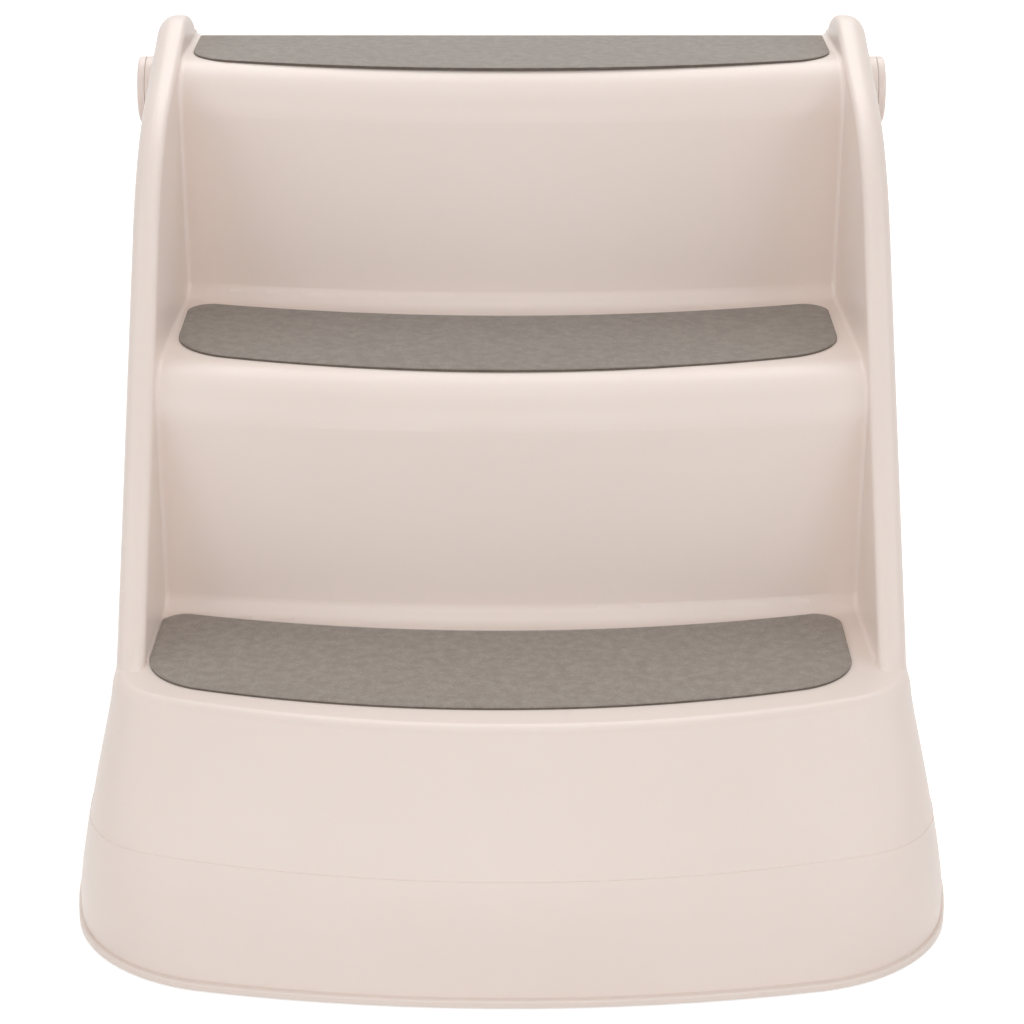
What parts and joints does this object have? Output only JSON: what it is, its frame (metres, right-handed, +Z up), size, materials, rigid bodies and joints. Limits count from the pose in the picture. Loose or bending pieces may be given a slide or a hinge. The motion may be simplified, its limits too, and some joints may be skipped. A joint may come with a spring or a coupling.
{
  "type": "folding pet stairs",
  "caption": "Folding pet stairs: a moulded shell with bowed treads between two rails, grip mats, and a hinged rear prop on rubber feet.",
  "frame": {"origin": "middle of the footprint on the floor, under the rubber feet", "axes": "+Z up, -Y towards the low front step, +Y towards the prop at the high end, +X to the right seen from the front"},
  "size_m": [0.4748, 0.6035, 0.424],
  "materials": {
    "cream_plastic": "moulded, fine satin",
    "tread_mat": "short dense pile",
    "foot_rubber": "matt",
    "steel": "zinc plated"
  },
  "bodies": {
    "stairs": {"stair_shell": "cream_plastic", "bottom_tread_mat": "tread_mat", "middle_tread_mat": "tread_mat", "top_tread_mat": "tread_mat", "right_pivot_pin": "cream_plastic", "left_pivot_pin": "cream_plastic", "right_pivot_washer": "steel", "left_pivot_washer": "steel", "right_pivot_screw": "steel", "left_pivot_screw": "steel", "front_right_foot": "foot_rubber", "front_left_foot": "foot_rubber", "side_right_foot": "foot_rubber", "side_left_foot": "foot_rubber"},
    "rear_prop": {"rear_support": "cream_plastic", "rear_right_foot": "foot_rubber", "rear_left_foot": "foot_rubber"}
  },
  "joints": [
    {"name": "rear_fold", "type": "hinge", "parent": "stairs", "child": "rear_prop", "pos_m": [0, 0.12575, 0.38], "axis": [-1, 0, 0], "range_deg": [0, 46]}
  ]
}
